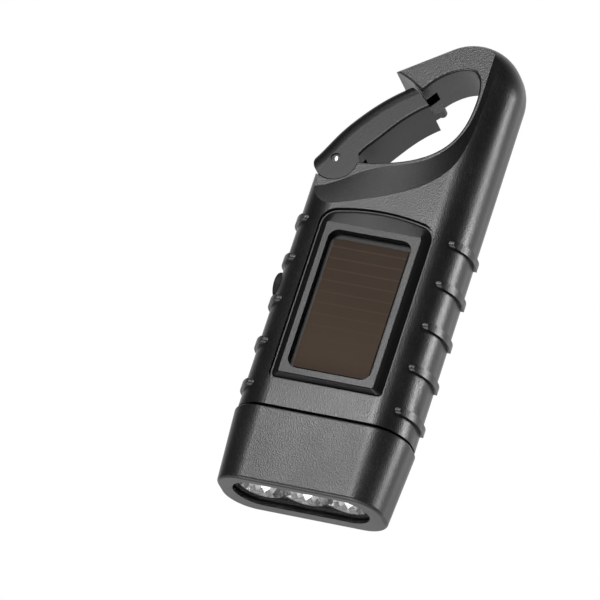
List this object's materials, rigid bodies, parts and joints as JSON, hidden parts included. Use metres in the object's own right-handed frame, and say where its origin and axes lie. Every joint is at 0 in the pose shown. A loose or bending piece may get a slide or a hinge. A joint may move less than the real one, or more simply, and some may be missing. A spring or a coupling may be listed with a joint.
{
  "type": "hand crank flashlight",
  "caption": "Flat hand crank flashlight with a solar panel on its front, lamps in its end, a sprung carabiner hook and a folding crank behind.",
  "frame": {"origin": "on the plane of the lamp end's rim, in the middle of the whole object", "axes": "+Z from the lamp end to the hook, +Y from the solar panel to the crank, +X to the right seen from the panel side"},
  "size_m": [0.0514, 0.0322, 0.1388],
  "materials": {
    "casing_black": "fine grained moulded plastic",
    "head_black": "fine grained moulded plastic",
    "gate_black": "smooth satin plastic",
    "frame_black": "smooth satin plastic",
    "crank_black": "satin plastic",
    "clear_plastic": "clear, glossy",
    "reflector_bright": "bright faceted metal film",
    "lamp_clear": "clear",
    "cell_brown": "thin film cell, faint lines",
    "backing_black": "plain",
    "seal_rubber": "plain",
    "button_rubber": "satin",
    "steel": "bright",
    "brass": "turned",
    "gear_nylon": "moulded",
    "gear_plate_steel": "stamped",
    "copper": "enamelled winding",
    "magnet": "sintered",
    "battery_metal": "plated",
    "sleeve_film": "shrink film",
    "board_green": "coated board",
    "component_black": "moulded"
  },
  "bodies": {
    "casing": {"front_shell": "casing_black", "back_shell": "casing_black", "head_cover": "head_black", "solar_frame": "frame_black", "lens": "clear_plastic", "solar_window": "clear_plastic", "reflector": "reflector_bright", "led_1": "lamp_clear", "led_2": "lamp_clear", "led_3": "lamp_clear", "solar_cell": "cell_brown", "solar_backing": "backing_black", "lens_gasket": "seal_rubber", "case_screws": "steel", "gear_plate_screws": "steel", "gate_pin": "steel", "arbor_1": "steel", "arbor_2": "steel", "generator_can": "steel", "gate_spring": "steel", "crank_bush": "brass", "gear_plate": "gear_plate_steel", "generator_coil": "copper", "battery_cell_1": "battery_metal", "battery_cell_2": "battery_metal", "battery_cell_3": "battery_metal", "battery_sleeve": "sleeve_film", "circuit_board": "board_green", "switch_board": "board_green", "led_board": "board_green", "board_components": "component_black", "switch_body": "component_black"},
    "gate": {"gate": "gate_black"},
    "button": {"button": "button_rubber"},
    "crank": {"crank_arm": "crank_black", "crank_shaft": "brass", "crank_screw": "steel", "drive_gear": "gear_nylon", "grip_hinge_pin": "steel"},
    "grip_stem": {"grip_stem": "steel"},
    "crank_grip": {"crank_grip": "crank_black"},
    "compound_1": {"compound_gear_1": "gear_nylon"},
    "compound_2": {"compound_gear_2": "gear_nylon"},
    "rotor": {"rotor_shaft": "steel", "rotor_pinion": "brass", "rotor_magnet": "magnet"}
  },
  "joints": [
    {"name": "gate_hinge", "type": "hinge", "parent": "casing", "child": "gate", "pos_m": [-0.019, -0.00325, 0.0971], "axis": [0, 1, 0], "range_deg": [-16, 14], "stiffness_Nm_per_rad": 0.02, "springref_deg": -25.78},
    {"name": "button_press", "type": "slide", "parent": "casing", "child": "button", "axis": [1, 0, 0], "range_m": [0, 0.001], "stiffness_N_per_m": 400},
    {"name": "crank_spin", "type": "hinge", "parent": "casing", "child": "crank", "pos_m": [0, 0.00875, 0.055], "axis": [0, 1, 0], "continuous": true},
    {"name": "grip_fold", "type": "hinge", "parent": "crank", "child": "grip_stem", "pos_m": [0, 0.01285, 0.025], "axis": [-1, 0, 0], "range_deg": [0, 90]},
    {"name": "grip_spin", "type": "hinge", "parent": "grip_stem", "child": "crank_grip", "pos_m": [0, 0.01285, 0.036], "axis": [0, 0, 1], "continuous": true},
    {"name": "compound_1_spin", "type": "hinge", "parent": "casing", "child": "compound_1", "pos_m": [-0.007, 0.00175, 0.06961], "axis": [0, 1, 0], "continuous": true},
    {"name": "compound_2_spin", "type": "hinge", "parent": "casing", "child": "compound_2", "pos_m": [0.00851, 0.00175, 0.06798], "axis": [0, 1, 0], "continuous": true},
    {"name": "rotor_spin", "type": "hinge", "parent": "casing", "child": "rotor", "pos_m": [0.00651, -0.00325, 0.05372], "axis": [0, 1, 0], "continuous": true}
  ],
  "couplings": [
    {"joint": "compound_1_spin", "follows": "crank_spin", "ratio": -3.5},
    {"joint": "compound_2_spin", "follows": "crank_spin", "ratio": 11.667},
    {"joint": "rotor_spin", "follows": "crank_spin", "ratio": -35}
  ]
}
